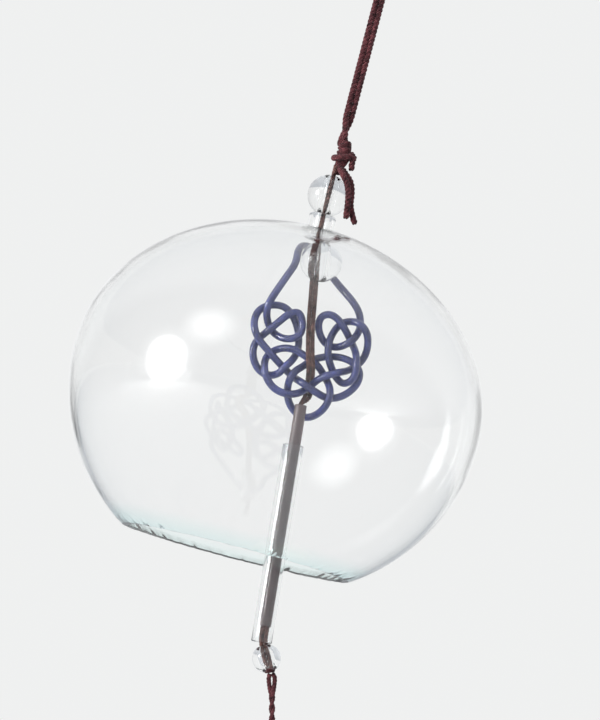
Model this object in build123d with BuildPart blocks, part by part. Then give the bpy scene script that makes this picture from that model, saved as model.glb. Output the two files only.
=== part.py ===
from build123d import *
import math
import os

# Furin: a small hanging wind bell of blown glass, with a decorative knot of one shiny strand inside it.
# Millimetres. +Z runs up the bell's axis, the viewer looks along +Y, and the origin is the seat of the
# hook in the hanging loop. Heights named "height" are measured up from the plane of the bell's rim.

# How the routes of the cords are read.
picture_point = 0.1927
RIM_SEEN_X = 235.0
RIM_SEEN_Y = 553.5
CROWN_SEEN = (318.1, 234.6)
wind_lean = 14.6

# Hanging cord.
rim_drop = 121.5
hanging_strand = 1.2
hanging_spacing = 1.3
hook_space = 3.0
eye_height = 7.0
loop_length = 10.6
joint_gap = 0.5

# Knot above the beads.
knot_above_bead = 2.0
knot_height = 4.5
knot_collar_radius = 2.45
knot_collar_height = 1.2
knot_foot_radius = 1.95
knot_waist_radius = 1.75
knot_waist_height = 2.4
knot_shoulder_radius = 1.2
knot_shoulder_height = 3.9
knot_top_radius = 0.5
tail_strand = 1.1

# Glass bell.
bell_width = 80.0
mouth_width = 45.0
belly_height = 31.8
crown_rise = 33.0
wall = 1.2
crown_wall = 1.3
lip_width = 5.4
lip_rise = 2.95
lip_round = 0.6
hole_width = 3.0
hole_round = 0.3

# Beads.
upper_bead_size = 8.1
upper_bead_bore = 2.2
bead_seat_gap = 0.27
inner_bead_size = 8.2
inner_bead_bore = 2.2
inner_bead_shift = 1.9
crown_gap = 0.15
bore_round = 0.3

# Doubled inner cord and its sleeve.
strand = 0.82
pair_spacing = 0.94
sleeve_above_bead = 3.5
sleeve_clearance = 0.07
sleeve_wall = 0.2

# Glass tube.
tube_width = 4.0
tube_wall = 0.5
tube_length = 38.5
tube_below_sleeve_top = 7.75
tube_shift = 0.2
tube_round = 0.2
tube_above_bead = 0.08

# Bottom bead and its knot.
bottom_bead_size = 5.5
bottom_bead_bore = 2.1
bottom_bead_shift = 1.47
stop_knot_width = 2.4
stop_knot_height = 1.6
stop_knot_proud = 0.2
stop_knot_clearance = 0.1

# Pull cord and paper strip.
pull_twist_width = 1.25
pull_twist_length = 8.0
strip_knot_width = 2.4
strip_knot_height = 2.0
knot_round_share = 0.5
loop_drop = 7.5
loop_depth = 2.4
strip_width = 32.0
strip_length = 76.0
strip_thickness = 0.4
strip_hole = 2.6
strip_hole_from_top = 5.0
strip_corner = 0.8
hole_play = 0.05

# Decorative knot.
knot_strand = 1.4
KNOT_STRAND_SIDES = 6

# The arc at each corner of a route starts this share of the shorter run away from the corner.
arc_share = 0.45

# The strand is measured against itself at places this far apart, and two places nearer to each other
# along it than this many widths are neighbours.
gap_step = 0.15
neighbour_share = 3.2

LEAN_COS = math.cos(math.radians(wind_lean))
LEAN_SIN = math.sin(math.radians(wind_lean))

# The decorative knot's strand from one hidden end to the other: x and y are points of the picture,
# and the third number is how far the strand lies towards the viewer, in the same points. It runs
# down the left leg, through the left loop and scallops, across to the right, round the lowest loop
# and up through the right side, passing over and under itself at each crossing.
KNOT_ROUTE = [
    (321, 247, -23.9), (313, 239, -16.1), (302.5, 240, -5.7), (298.3, 249.5, 6.7),
    (296.5, 261, 7.3), (289.5, 271.5, 5.2), (280.5, 284, 5.2), (272.5, 296, 6), (266.8, 307, 6),
    (267, 319, -2.1), (272, 330, -6.7), (281, 337.5, 0), (292, 339.3, 5.7), (301, 334.5, 5.7),
    (303.2, 322, 5.2), (299.5, 311, 5.7), (289, 313, 5.7), (277, 323, 5.7), (268, 330.5, 4.2),
    (259, 337, -6.2), (253.5, 345, -5.2), (252.8, 357, -5.2), (257.5, 368.5, -5.7),
    (267, 375, -5.7), (278, 374.5, 1), (284, 367.8, 6), (292.5, 360, 0.5), (297.5, 351, -6.2),
    (299.5, 338, -5.7), (297.5, 324, -5.7), (292, 311.5, -5.7), (283.5, 303.5, -5.7),
    (270.5, 302.5, -6), (259.5, 307.5, -3.1), (254.2, 318, 1), (254.5, 330, 5.7),
    (259.5, 341, 5.7), (268, 351, 5.7), (277, 360.5, 0), (285, 368.5, -6.7), (293.5, 376.5, -7.3),
    (301, 382.5, 4.2), (308.5, 388, 6.2), (317, 393.5, 3.1), (327, 397.8, -6.2),
    (339, 397.5, -4.2), (350.5, 391.5, -4.7), (358.5, 382, -1.6), (360.5, 371.5, 0),
    (354.5, 362.5, 0), (343.5, 357, -1), (332, 355.3, -5.7), (321, 356.3, -5.7),
    (311, 359.5, -5.2), (303, 366, -2.6), (294.5, 371.5, 6.2), (288.5, 380.5, 4.7),
    (287, 392, -5.7), (289.5, 403, -11.9), (297.5, 413, -15.6), (309, 416.5, -15.6),
    (320.5, 412, -5.2), (328, 403, 4.2), (330.5, 392, 6.2), (328, 381.5, -4.7),
    (323.8, 373.5, -6.7), (318.5, 366, 1), (310.5, 360, 6), (302.5, 354.5, 5.2),
    (294.5, 349.5, 5.7), (284, 347.3, 1.6), (273.5, 349.5, -5.7), (266, 356, -5.7),
    (263.8, 366, 2.6), (265.5, 377, 5.7), (272, 387.5, 5.2), (282, 393.5, 5.7), (293, 394.8, 5.2),
    (302, 391.5, -3.6), (310.5, 385.5, -6.7), (318.5, 379, 1), (327, 375.8, 6.2), (337, 373, 6.7),
    (348, 370, -6.2), (357.5, 364.5, -11.4), (365.5, 355.5, -7.8), (368.8, 344, -2.1),
    (367.5, 331.5, 6.2), (359.5, 322, 6.5), (348.5, 319, -4.2), (339, 323.5, -6.2),
    (332.5, 333, -1), (328.5, 344, 6.2), (327.8, 356, 6.5), (331, 366.5, -1), (336, 376.5, -6.7),
    (342.5, 384, -2.1), (351, 382, 6.2), (355.5, 373.5, 10.9), (356.5, 361, 11.4),
    (355.5, 350, 1.6), (352, 340, -7.8), (346, 329, 1.6), (339, 319, 6.7), (330.5, 313, 5.2),
    (321.5, 315, 2.6), (318.3, 325, 0), (321.5, 337, -3.1), (328.5, 344.5, -6.7), (339, 346.8, -1),
    (350, 342.5, 7.3), (357.5, 334.5, 2.6), (362, 323, -8.3), (360.5, 310, -6.2),
    (354.5, 299, -8.3), (346.5, 288.5, -13), (339, 278.5, -19.2), (332.5, 268.5, -24.4),
    (326.5, 258, -27),
]

# The middle of the doubled inner cord, from the bell's lip to the link over the sleeve. It starts at
# the foot of the knot above the beads. The fourth number turns the pair: 0 is side by side, 90 is one
# strand behind the other.
INNER_ROUTE = [
    (321.4, 222, 0, 90), (319.8, 234.5, 0, 90), (317.2, 256.4, 0, 45),
    (314.9, 277.7, 0, 0), (313, 300, 5, 0), (311, 321, 11, 0), (309.8, 343, 14, 0),
    (310, 361, 13.5, 0), (310.6, 371, 7.5, 0), (310.2, 379, -8, 0), (309.3, 386.9, -14.5, 0),
    (308.5, 393.4, -12.7, 0),
]

# The short link of the same cord between the decorative knot and the sleeve, which the clapper
# swings on.
LINK_ROUTE = [
    (307.5, 396, -11, 0), (305.8, 397.9, -7.8, 30), (304.1, 399.6, -4.4, 60), (302.2, 401.2, -1, 90),
]

# The tails of the upper knot in steps from the middle of its foot, to their cut ends.
TAIL_LONG_ROUTE = [
    (6.5, 3.9, 1.5), (9.6, 9.7, 6.7), (14.9, 18.9, 12), (15.3, 31.8, 12.5),
    (13, 44.7, 11.4), (18.3, 61.1, 11.4),
]
TAIL_SHORT_ROUTE = [
    (3.5, 3.3, 7), (5.7, 10.1, 13.5), (10.6, 21, 19.7), (12, 36.3, 18.7), (8.8, 56.4, 17.6),
]

# The sleeve's axis and the bottom bead's slanting bore. The strands below the bead are in steps from
# the foot of the knot in it.
SLEEVE_TOP_SEEN = (301, 405, 1.5)
SLEEVE_FOOT_SEEN = (265, 625, 1.5)
BEAD_ENTRY_SEEN = (263.1, 641.6, 1.5)
BEAD_EXIT_SEEN = (271.1, 670.1, 1.5)
PULL_LEFT_ROUTE = [(-2.2, 3.5, -0.4), (-1.7, 9.9, -1.2), (-0.3, 18.9, -2.7)]
PULL_RIGHT_ROUTE = [(4.2, 2.5, 0.4), (3.8, 9.9, 1.2), (2.4, 18.9, 2.9)]
TWIST_TOP_STEP = (1.2, 21.2)


def seen(x, y, near=0.0):
    """A point of the picture as a point of the bell; near is its distance towards the viewer."""
    right = (x - RIM_SEEN_X) * picture_point
    down = (y - RIM_SEEN_Y) * picture_point
    return Vector(
        right * LEAN_COS + down * LEAN_SIN,
        -near * picture_point,
        right * LEAN_SIN - down * LEAN_COS - rim_drop,
    )


def hung(x, y, near=0.0):
    """The same for a piece that hangs under the crown: it keeps its distance from the crown."""
    return seen(x, y, near) + crown_lift


def seen_step(x, y, near=0.0):
    """A step in the picture, with its step towards the viewer, as a step of the bell."""
    return seen(RIM_SEEN_X + x, RIM_SEEN_Y + y, near) - seen(RIM_SEEN_X, RIM_SEEN_Y)


def corner_radii(points):
    """The radius of the arc at each corner of a route, as large as its two runs allow."""
    radii = []
    for before, corner, after in zip(points, points[1:], points[2:]):
        run_in = corner - before
        run_out = after - corner
        half_turn = math.radians(run_in.get_angle(run_out)) / 2
        radii.append(arc_share * min(run_in.length, run_out.length) / math.tan(half_turn))
    return radii


def pair_strand(middle, turns, side):
    """One strand of a doubled cord: side is +1 or -1."""
    points = []
    for index, turn in enumerate(turns):
        before = middle[max(index - 1, 0)]
        after = middle[min(index + 1, len(middle) - 1)]
        along = (after - before).normalized()
        sideways = Vector(along.Z, 0, -along.X).normalized()
        frontward = sideways.cross(along)
        angle = math.radians(turn)
        offset = sideways * math.cos(angle) + frontward * math.sin(angle)
        points.append(middle[index] + offset * (side * pair_spacing / 2))
    return points


def start_plane(points):
    """The plane square to the start of a route."""
    return Plane(origin=points[0], z_dir=points[1] - points[0])


def at_height(height):
    """A height above the rim as a place on the Z axis."""
    return height - rim_drop


def belly_arc(belly, mouth):
    """The arc from the rim to the belly: upright at the belly's radius, cut off at the mouth's."""
    centre = (belly**2 - mouth**2 - belly_height**2) / (2 * (belly - mouth))
    turn = math.degrees(math.asin(belly_height / (belly - centre)))
    return CenterArc((centre, belly_level), belly - centre, start_angle=-turn, arc_size=turn)


def crown_arc(belly, rise, reach):
    """The part of an ellipse from the belly's radius up to where its radius is reach."""
    turn = math.degrees(math.acos(reach / belly))
    if belly >= rise:
        return EllipticalCenterArc((0, belly_level), belly, rise, arc_size=turn)
    return EllipticalCenterArc(
        (0, belly_level), rise, belly, start_angle=-90, arc_size=turn, rotation=90
    )


def tell_cord(name, points, path, section, volume):
    """Print a strand's radii, and its volume as a share of section times length."""
    radii = [round(radius, 2) for radius in corner_radii(points)]
    print(name, "radii", radii, "volume share", round(volume / (section * path.length), 4))


def least_gap_to_itself(path, width):
    """The least gap between two places of a strand that aren't neighbours along it."""
    places = []
    walked = 0
    for edge in path.wire().order_edges():
        steps = math.ceil(edge.length / gap_step)
        for step in range(steps):
            place = edge.position_at(step / steps)
            places.append((walked + edge.length * step / steps, (place.X, place.Y, place.Z)))
        walked += edge.length
    closest = min(
        math.dist(place, other)
        for index, (far, place) in enumerate(places)
        for near, other in places[:index]
        if far - near > neighbour_share * width
    )
    return closest - width


os.makedirs("parts", exist_ok=True)

# Levels and radii that several pieces share.
bell_radius = bell_width / 2
mouth_radius = mouth_width / 2
lip_radius = lip_width / 2
hole_radius = hole_width / 2
inside_radius = bell_radius - wall
inside_rise = crown_rise - crown_wall
lip_top_height = belly_height + crown_rise + lip_rise
belly_level = at_height(belly_height)
lip_level = at_height(lip_top_height)

upper_bead_radius = upper_bead_size / 2
bead_seat_radius = hole_radius + hole_round
upper_bead_height = (
    lip_top_height + bead_seat_gap + math.sqrt(upper_bead_radius**2 - bead_seat_radius**2)
)
knot_foot_height = upper_bead_height + upper_bead_radius + knot_above_bead
knot_foot = Vector(0, 0, at_height(knot_foot_height))
crown_lift = Vector(0, 0, at_height(belly_height + inside_rise) - seen(*CROWN_SEEN).Z)
hanging_strand_area = math.pi * (hanging_strand / 2) ** 2
tail_strand_area = math.pi * (tail_strand / 2) ** 2
strand_area = math.pi * (strand / 2) ** 2

# Hanging loop: the bend of the doubled cord round the hook.
eye_half = (hook_space + hanging_strand) / 2
loop_top = hanging_strand / 2
loop_points = [
    Vector(-hanging_spacing / 2, 0, -loop_length),
    Vector(-eye_half, 0, -eye_height),
    Vector(-eye_half, 0, loop_top),
    Vector(eye_half, 0, loop_top),
    Vector(eye_half, 0, -eye_height),
    Vector(hanging_spacing / 2, 0, -loop_length),
]
with BuildPart() as hanging_loop:
    with BuildLine() as cord_path:
        FilletPolyline(*loop_points, radius=corner_radii(loop_points))
    with BuildSketch(start_plane(loop_points)):
        Circle(hanging_strand / 2)
    sweep()
hanging_loop.part.label = "hanging_loop"
export_step(hanging_loop.part, "parts/hanging_loop.step")
tell_cord("hanging loop", loop_points, cord_path.wire(), hanging_strand_area, hanging_loop.part.volume)

# The two straight strands between the loop and the knot.
knot_top_height = knot_foot_height + knot_height
hanging_run = -loop_length - joint_gap - (at_height(knot_top_height) + joint_gap)
with BuildPart() as hanging_strand_left:
    with BuildSketch(Plane.XY.offset(at_height(knot_top_height) + joint_gap)):
        with Locations((-hanging_spacing / 2, 0)):
            Circle(hanging_strand / 2)
    extrude(amount=hanging_run)
hanging_strand_left.part.label = "hanging_strand_left"
export_step(hanging_strand_left.part, "parts/hanging_strand_left.step")

with BuildPart() as hanging_strand_right:
    with BuildSketch(Plane.XY.offset(at_height(knot_top_height) + joint_gap)):
        with Locations((hanging_spacing / 2, 0)):
            Circle(hanging_strand / 2)
    extrude(amount=hanging_run)
hanging_strand_right.part.label = "hanging_strand_right"
export_step(hanging_strand_right.part, "parts/hanging_strand_right.step")

# Hanging knot: a cone over a wide wrapped collar.
with BuildPart() as hanging_knot:
    with BuildSketch(Plane.XZ):
        with BuildLine():
            foot = at_height(knot_foot_height)
            collar_middle = (knot_collar_radius, foot + knot_collar_height)
            outline = Polyline(
                (knot_waist_radius, foot + knot_waist_height),
                (knot_shoulder_radius, foot + knot_shoulder_height),
                (knot_top_radius, foot + knot_height),
                (0, foot + knot_height),
                (0, foot),
                (knot_foot_radius, foot),
            )
            ThreePointArc(outline @ 1, collar_middle, outline @ 0)
        make_face()
    revolve(axis=Axis.Z)
hanging_knot.part.label = "hanging_knot"
export_step(hanging_knot.part, "parts/hanging_knot.step")

# Cut tails of the hanging knot.
tail_long_points = [knot_foot + seen_step(*step) for step in TAIL_LONG_ROUTE]
with BuildPart() as cord_tail_long:
    with BuildLine() as cord_path:
        FilletPolyline(*tail_long_points, radius=corner_radii(tail_long_points))
    with BuildSketch(start_plane(tail_long_points)):
        Circle(tail_strand / 2)
    sweep()
cord_tail_long.part.label = "cord_tail_long"
export_step(cord_tail_long.part, "parts/cord_tail_long.step")
tell_cord("cord tail long", tail_long_points, cord_path.wire(), tail_strand_area, cord_tail_long.part.volume)

tail_short_points = [knot_foot + seen_step(*step) for step in TAIL_SHORT_ROUTE]
with BuildPart() as cord_tail_short:
    with BuildLine() as cord_path:
        FilletPolyline(*tail_short_points, radius=corner_radii(tail_short_points))
    with BuildSketch(start_plane(tail_short_points)):
        Circle(tail_strand / 2)
    sweep()
cord_tail_short.part.label = "cord_tail_short"
export_step(cord_tail_short.part, "parts/cord_tail_short.step")
tell_cord("cord tail short", tail_short_points, cord_path.wire(), tail_strand_area, cord_tail_short.part.volume)

# Glass bell.
# Outside and inside are each a round arc from the rim up to the belly and a part of an ellipse above it.
with BuildPart() as glass_bell:
    with BuildSketch(Plane.XZ):
        with BuildLine():
            outer_belly = belly_arc(bell_radius, mouth_radius)
            outer_crown = crown_arc(bell_radius, crown_rise, lip_radius)
            inner_belly = belly_arc(inside_radius, mouth_radius - wall)
            inner_crown = crown_arc(inside_radius, inside_rise, hole_radius)
            Polyline(outer_crown @ 1, (lip_radius, lip_level), (hole_radius, lip_level), inner_crown @ 1)
            Line(outer_belly @ 0, inner_belly @ 0)
        face = make_face()
        lip_corner = vertices().filter_by_position(Axis.Y, lip_level, lip_level).sort_by(Axis.X)[-1]
        fillet(lip_corner, lip_round)
        hole_corner = vertices().filter_by_position(Axis.Y, lip_level, lip_level).sort_by(Axis.X)[0]
        fillet(hole_corner, hole_round)
    revolve(axis=Axis.Z)
glass_bell.part.label = "glass_bell"
export_step(glass_bell.part, "parts/glass_bell.step")

# Upper bead: a drilled glass ball on the lip.
with BuildPart(Plane.XY.offset(at_height(upper_bead_height))) as upper_bead:
    Sphere(upper_bead_radius)
    Hole(upper_bead_bore / 2)
    fillet(upper_bead.edges().filter_by(GeomType.CIRCLE), bore_round)
upper_bead.part.label = "upper_bead"
export_step(upper_bead.part, "parts/upper_bead.step")

# Inner bead: it carries the bell under the crown.
inner_bead_radius = inner_bead_size / 2
crown_over_bead = belly_height + inside_rise * math.sqrt(1 - (inner_bead_shift / inside_radius) ** 2)
inner_bead_centre = Vector(
    inner_bead_shift, 0, at_height(crown_over_bead - crown_gap - inner_bead_radius)
)
bore_top = hung(*INNER_ROUTE[1][:3])
bore_foot = hung(*INNER_ROUTE[3][:3])
bore_middle = (bore_top + bore_foot) / 2
with BuildPart() as inner_bead:
    with Locations(inner_bead_centre):
        Sphere(inner_bead_radius)
    with BuildSketch(Plane(origin=bore_middle, z_dir=bore_top - bore_foot)):
        Circle(inner_bead_bore / 2)
    extrude(amount=inner_bead_size, both=True, mode=Mode.SUBTRACT)
inner_bead.part.label = "inner_bead"
export_step(inner_bead.part, "parts/inner_bead.step")

# Decorative knot: one strand that loops and crosses itself.
knot_points = [hung(*point) for point in KNOT_ROUTE]
with BuildPart() as blue_knot:
    with BuildLine() as knot_path:
        FilletPolyline(*knot_points, radius=corner_radii(knot_points))
    with BuildSketch(start_plane(knot_points)):
        RegularPolygon(knot_strand / 2, KNOT_STRAND_SIDES)
    sweep()
blue_knot.part.label = "blue_knot"
export_step(blue_knot.part, "parts/blue_knot.step")
knot_turn = 2 * math.pi / KNOT_STRAND_SIDES
knot_strand_area = KNOT_STRAND_SIDES * (knot_strand / 2) ** 2 * math.sin(knot_turn) / 2
tell_cord("blue knot", knot_points, knot_path.wire(), knot_strand_area, blue_knot.part.volume)
print("blue knot least gap to itself", round(least_gap_to_itself(knot_path, knot_strand), 2))

# Doubled inner cord: through the beads, before and behind the knot's strands.
inner_middle = [knot_foot] + [hung(x, y, near) for x, y, near, turn in INNER_ROUTE]
inner_turns = [INNER_ROUTE[0][3]] + [turn for x, y, near, turn in INNER_ROUTE]
inner_left_points = pair_strand(inner_middle, inner_turns, 1)
with BuildPart() as inner_strand_left:
    with BuildLine() as cord_path:
        FilletPolyline(*inner_left_points, radius=corner_radii(inner_left_points))
    with BuildSketch(start_plane(inner_left_points)):
        Circle(strand / 2)
    sweep()
inner_strand_left.part.label = "inner_strand_left"
export_step(inner_strand_left.part, "parts/inner_strand_left.step")
tell_cord("inner strand left", inner_left_points, cord_path.wire(), strand_area, inner_strand_left.part.volume)

inner_right_points = pair_strand(inner_middle, inner_turns, -1)
with BuildPart() as inner_strand_right:
    with BuildLine() as cord_path:
        FilletPolyline(*inner_right_points, radius=corner_radii(inner_right_points))
    with BuildSketch(start_plane(inner_right_points)):
        Circle(strand / 2)
    sweep()
inner_strand_right.part.label = "inner_strand_right"
export_step(inner_strand_right.part, "parts/inner_strand_right.step")
tell_cord("inner strand right", inner_right_points, cord_path.wire(), strand_area, inner_strand_right.part.volume)

# Link of the same cord between the decorative knot and the sleeve.
link_middle = [hung(x, y, near) for x, y, near, turn in LINK_ROUTE]
link_turns = [turn for x, y, near, turn in LINK_ROUTE]
link_left_points = pair_strand(link_middle, link_turns, 1)
with BuildPart() as link_strand_left:
    with BuildLine() as cord_path:
        FilletPolyline(*link_left_points, radius=corner_radii(link_left_points))
    with BuildSketch(start_plane(link_left_points)):
        Circle(strand / 2)
    sweep()
link_strand_left.part.label = "link_strand_left"
export_step(link_strand_left.part, "parts/link_strand_left.step")
tell_cord("link strand left", link_left_points, cord_path.wire(), strand_area, link_strand_left.part.volume)

link_right_points = pair_strand(link_middle, link_turns, -1)
with BuildPart() as link_strand_right:
    with BuildLine() as cord_path:
        FilletPolyline(*link_right_points, radius=corner_radii(link_right_points))
    with BuildSketch(start_plane(link_right_points)):
        Circle(strand / 2)
    sweep()
link_strand_right.part.label = "link_strand_right"
export_step(link_strand_right.part, "parts/link_strand_right.step")
tell_cord("link strand right", link_right_points, cord_path.wire(), strand_area, link_strand_right.part.volume)

# Inner sleeve.
sleeve_top = hung(*SLEEVE_TOP_SEEN)
sleeve_down = (hung(*SLEEVE_FOOT_SEEN) - sleeve_top).normalized()
sleeve_side = Vector(sleeve_down.Z, 0, -sleeve_down.X)
tube_top = sleeve_top + sleeve_down * tube_below_sleeve_top + sleeve_side * tube_shift
tube_foot = tube_top + sleeve_down * tube_length
bottom_bead_radius = bottom_bead_size / 2
bottom_bead_centre = (
    tube_foot + sleeve_down * (bottom_bead_radius + tube_above_bead) - sleeve_side * bottom_bead_shift
)
bead_down = (seen(*BEAD_EXIT_SEEN) - seen(*BEAD_ENTRY_SEEN)).normalized()
bead_mouth = bottom_bead_centre - bead_down * bottom_bead_radius
sleeve_length = (bead_mouth - sleeve_top).dot(sleeve_down) - sleeve_above_bead
sleeve_bore_radius = (pair_spacing + strand) / 2 + sleeve_clearance
with BuildPart() as inner_sleeve:
    with BuildSketch(Plane(origin=sleeve_top, z_dir=sleeve_down)):
        Circle(sleeve_bore_radius + sleeve_wall)
        Circle(sleeve_bore_radius, mode=Mode.SUBTRACT)
    extrude(amount=sleeve_length)
inner_sleeve.part.label = "inner_sleeve"
export_step(inner_sleeve.part, "parts/inner_sleeve.step")

# Glass tube: the clapper that strikes the rim.
with BuildPart() as glass_tube:
    with BuildSketch(Plane(origin=tube_top, z_dir=sleeve_down)):
        Circle(tube_width / 2)
        Circle(tube_width / 2 - tube_wall, mode=Mode.SUBTRACT)
    extrude(amount=tube_length)
    fillet(glass_tube.edges().filter_by(GeomType.CIRCLE), tube_round)
glass_tube.part.label = "glass_tube"
export_step(glass_tube.part, "parts/glass_tube.step")

# Bottom bead: drilled on the slant, with a seat for the knot in its lower mouth.
stop_knot_radius = stop_knot_width / 2
stop_knot_foot = bottom_bead_centre + bead_down * (bottom_bead_radius + stop_knot_proud)
stop_knot_top = stop_knot_foot - bead_down * stop_knot_height
with BuildPart() as bottom_bead:
    with Locations(bottom_bead_centre):
        Sphere(bottom_bead_radius)
    with BuildSketch(Plane(origin=bottom_bead_centre, z_dir=bead_down)):
        Circle(bottom_bead_bore / 2)
    extrude(amount=bottom_bead_size, both=True, mode=Mode.SUBTRACT)
    with BuildSketch(Plane(origin=stop_knot_top - bead_down * stop_knot_clearance, z_dir=bead_down)):
        Circle(stop_knot_radius + stop_knot_clearance)
    extrude(amount=bottom_bead_size, mode=Mode.SUBTRACT)
bottom_bead.part.label = "bottom_bead"
export_step(bottom_bead.part, "parts/bottom_bead.step")

# Stop knot under the bottom bead.
with BuildPart() as stop_knot:
    with BuildSketch(Plane(origin=stop_knot_top, z_dir=bead_down)):
        Circle(stop_knot_radius)
    extrude(amount=stop_knot_height)
    fillet(stop_knot.edges().filter_by(GeomType.CIRCLE), stop_knot_radius * knot_round_share)
stop_knot.part.label = "stop_knot"
export_step(stop_knot.part, "parts/stop_knot.step")

# The doubled cord in the sleeve, from the link to the stop knot.
# The pair turns a quarter on its way down, leaves the sleeve and bends into the slanting bore.
bend_run = bottom_bead_radius
bend_start = sleeve_top + sleeve_down * (bead_mouth - sleeve_top).dot(sleeve_down) - sleeve_down * bend_run
sleeve_across = Vector(-sleeve_down.Z, 0, sleeve_down.X)
bead_across = Vector(-bead_down.Z, 0, bead_down.X)
toward_viewer = Vector(0, -1, 0)
turn_down = (bend_start - sleeve_top).length / 2
half_pair = pair_spacing / 2
diagonal = (sleeve_across + toward_viewer).normalized()
sleeve_left_points = [
    sleeve_top + toward_viewer * half_pair,
    sleeve_top + sleeve_down * turn_down + diagonal * half_pair,
    bend_start + sleeve_across * half_pair,
    bead_mouth + bead_across * half_pair,
    stop_knot_top + bead_across * half_pair,
]
with BuildPart() as sleeve_strand_left:
    with BuildLine() as cord_path:
        FilletPolyline(*sleeve_left_points, radius=corner_radii(sleeve_left_points))
    with BuildSketch(start_plane(sleeve_left_points)):
        Circle(strand / 2)
    sweep()
sleeve_strand_left.part.label = "sleeve_strand_left"
export_step(sleeve_strand_left.part, "parts/sleeve_strand_left.step")
tell_cord("sleeve strand left", sleeve_left_points, cord_path.wire(), strand_area, sleeve_strand_left.part.volume)

sleeve_right_points = [
    sleeve_top - toward_viewer * half_pair,
    sleeve_top + sleeve_down * turn_down - diagonal * half_pair,
    bend_start - sleeve_across * half_pair,
    bead_mouth - bead_across * half_pair,
    stop_knot_top - bead_across * half_pair,
]
with BuildPart() as sleeve_strand_right:
    with BuildLine() as cord_path:
        FilletPolyline(*sleeve_right_points, radius=corner_radii(sleeve_right_points))
    with BuildSketch(start_plane(sleeve_right_points)):
        Circle(strand / 2)
    sweep()
sleeve_strand_right.part.label = "sleeve_strand_right"
export_step(sleeve_strand_right.part, "parts/sleeve_strand_right.step")
tell_cord("sleeve strand right", sleeve_right_points, cord_path.wire(), strand_area, sleeve_strand_right.part.volume)

# Pull cord: two strands that close into a twist.
pull_left_points = [stop_knot_foot + seen_step(*step) for step in PULL_LEFT_ROUTE]
with BuildPart() as pull_strand_left:
    with BuildLine() as cord_path:
        FilletPolyline(*pull_left_points, radius=corner_radii(pull_left_points))
    with BuildSketch(start_plane(pull_left_points)):
        Circle(strand / 2)
    sweep()
pull_strand_left.part.label = "pull_strand_left"
export_step(pull_strand_left.part, "parts/pull_strand_left.step")
tell_cord("pull strand left", pull_left_points, cord_path.wire(), strand_area, pull_strand_left.part.volume)

pull_right_points = [stop_knot_foot + seen_step(*step) for step in PULL_RIGHT_ROUTE]
with BuildPart() as pull_strand_right:
    with BuildLine() as cord_path:
        FilletPolyline(*pull_right_points, radius=corner_radii(pull_right_points))
    with BuildSketch(start_plane(pull_right_points)):
        Circle(strand / 2)
    sweep()
pull_strand_right.part.label = "pull_strand_right"
export_step(pull_strand_right.part, "parts/pull_strand_right.step")
tell_cord("pull strand right", pull_right_points, cord_path.wire(), strand_area, pull_strand_right.part.volume)

# Everything on the pull cord hangs straight down in the picture, which leans to the bell's axis.
pull_down = Vector(LEAN_SIN, 0, -LEAN_COS)
pull_side = Vector(LEAN_COS, 0, LEAN_SIN)
twist_top = stop_knot_foot + seen_step(*TWIST_TOP_STEP)
with BuildPart() as pull_twist:
    with BuildSketch(Plane(origin=twist_top, z_dir=pull_down)):
        Circle(pull_twist_width / 2)
    extrude(amount=pull_twist_length)
pull_twist.part.label = "pull_twist"
export_step(pull_twist.part, "parts/pull_twist.step")

# Strip knot and the loop that holds the paper.
strip_knot_top = twist_top + pull_down * (pull_twist_length + hole_play)
strip_knot_radius = strip_knot_width / 2
with BuildPart() as strip_knot:
    with BuildSketch(Plane(origin=strip_knot_top, z_dir=pull_down)):
        Circle(strip_knot_radius)
    extrude(amount=strip_knot_height)
    fillet(strip_knot.edges().filter_by(GeomType.CIRCLE), strip_knot_radius * knot_round_share)
strip_knot.part.label = "strip_knot"
export_step(strip_knot.part, "parts/strip_knot.step")

strip_knot_foot = strip_knot_top + pull_down * strip_knot_height
loop_shoulder = loop_drop / 2
strip_loop_points = [
    strip_knot_foot + pull_down * hole_play + toward_viewer * half_pair,
    strip_knot_foot + pull_down * loop_shoulder + toward_viewer * (loop_depth / 2),
    strip_knot_foot + pull_down * loop_drop + toward_viewer * (loop_depth / 2),
    strip_knot_foot + pull_down * loop_drop - toward_viewer * (loop_depth / 2),
    strip_knot_foot + pull_down * loop_shoulder - toward_viewer * (loop_depth / 2),
    strip_knot_foot + pull_down * hole_play - toward_viewer * half_pair,
]
with BuildPart() as strip_loop:
    with BuildLine() as cord_path:
        FilletPolyline(*strip_loop_points, radius=corner_radii(strip_loop_points))
    with BuildSketch(start_plane(strip_loop_points)):
        Circle(strand / 2)
    sweep()
strip_loop.part.label = "strip_loop"
export_step(strip_loop.part, "parts/strip_loop.step")
tell_cord("strip loop", strip_loop_points, cord_path.wire(), strand_area, strip_loop.part.volume)

# Paper strip: it hangs on the loop by the upper edge of its hole.
hole_centre = strip_knot_foot + pull_down * (loop_drop + strip_hole / 2 - strand / 2 - hole_play)
strip_middle = hole_centre + pull_down * (strip_length / 2 - strip_hole_from_top)
with BuildPart() as paper_strip:
    with BuildSketch(Plane(origin=strip_middle, x_dir=pull_side, z_dir=toward_viewer)):
        Rectangle(strip_width, strip_length)
        fillet(vertices(), strip_corner)
        with Locations((0, strip_length / 2 - strip_hole_from_top)):
            Circle(strip_hole / 2, mode=Mode.SUBTRACT)
    extrude(amount=strip_thickness / 2, both=True)
paper_strip.part.label = "paper_strip"
export_step(paper_strip.part, "parts/paper_strip.step")
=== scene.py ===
import math

import bmesh
import bpy
from mathutils import Matrix, Vector, noise


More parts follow.
